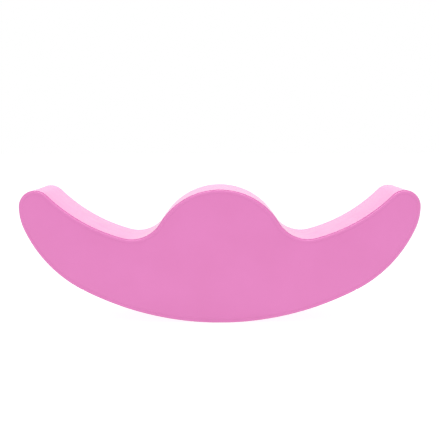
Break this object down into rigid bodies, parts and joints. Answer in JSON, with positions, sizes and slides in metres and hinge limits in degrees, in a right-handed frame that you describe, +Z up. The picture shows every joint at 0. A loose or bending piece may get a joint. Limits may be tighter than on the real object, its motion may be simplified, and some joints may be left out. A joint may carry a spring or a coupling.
{
  "type": "soft play rocker beam",
  "caption": "Two-seat foam balance rocker with a curved runner, two dipped seats beside a centre hump, upturned ends and a zipped vinyl cover.",
  "frame": {"origin": "on the floor under the middle of the curved runner, half way across the width", "axes": "+X along the rocker towards the end where the zip slider is parked, +Y across it from the front side to the rear side, +Z up"},
  "size_m": [1.2, 0.3, 0.4019],
  "materials": {
    "vinyl_side_front": "satin",
    "vinyl_side_rear": "satin",
    "vinyl_boxing": "satin",
    "vinyl_runner_front": "satin",
    "vinyl_runner_rear": "satin",
    "vinyl_patch": "satin",
    "foam_core": "matt",
    "foam_soft": "matt",
    "zip_tape": "woven",
    "zip_coil": "satin",
    "zip_metal": "satin",
    "slider_metal": "polished",
    "puller_metal": "polished"
  },
  "bodies": {
    "rocker": {"front_side_panel": "vinyl_side_front", "rear_side_panel": "vinyl_side_rear", "long_boxing_strip": "vinyl_boxing", "runner_strip_front": "vinyl_runner_front", "runner_strip_rear": "vinyl_runner_rear", "foam_board_front": "foam_core", "foam_board_middle": "foam_core", "foam_board_rear": "foam_core", "seat_pad_left": "foam_soft", "seat_pad_right": "foam_soft", "hump_pad": "foam_soft", "zip_tape_front": "zip_tape", "zip_tape_rear": "zip_tape", "zip_coil_front": "zip_coil", "zip_coil_rear": "zip_coil", "zip_top_stops": "zip_metal", "zip_bottom_stop": "zip_metal", "zip_end_patch_left": "vinyl_patch", "zip_end_patch_right": "vinyl_patch"},
    "zip_slider": {"zip_slider": "slider_metal"},
    "zip_puller": {"zip_puller": "puller_metal"}
  },
  "joints": [
    {"name": "zip_travel", "type": "hinge", "parent": "rocker", "child": "zip_slider", "pos_m": [0, 0, 0.8965], "axis": [0, 1, 0], "range_deg": [0, 49.6], "deforming": ["zip_coil_front", "zip_coil_rear"]},
    {"name": "puller_swing", "type": "hinge", "parent": "zip_slider", "child": "zip_puller", "pos_m": [0.38179, 0, 0.08326], "axis": [0, 1, 0], "range_deg": [-112, 62]}
  ]
}
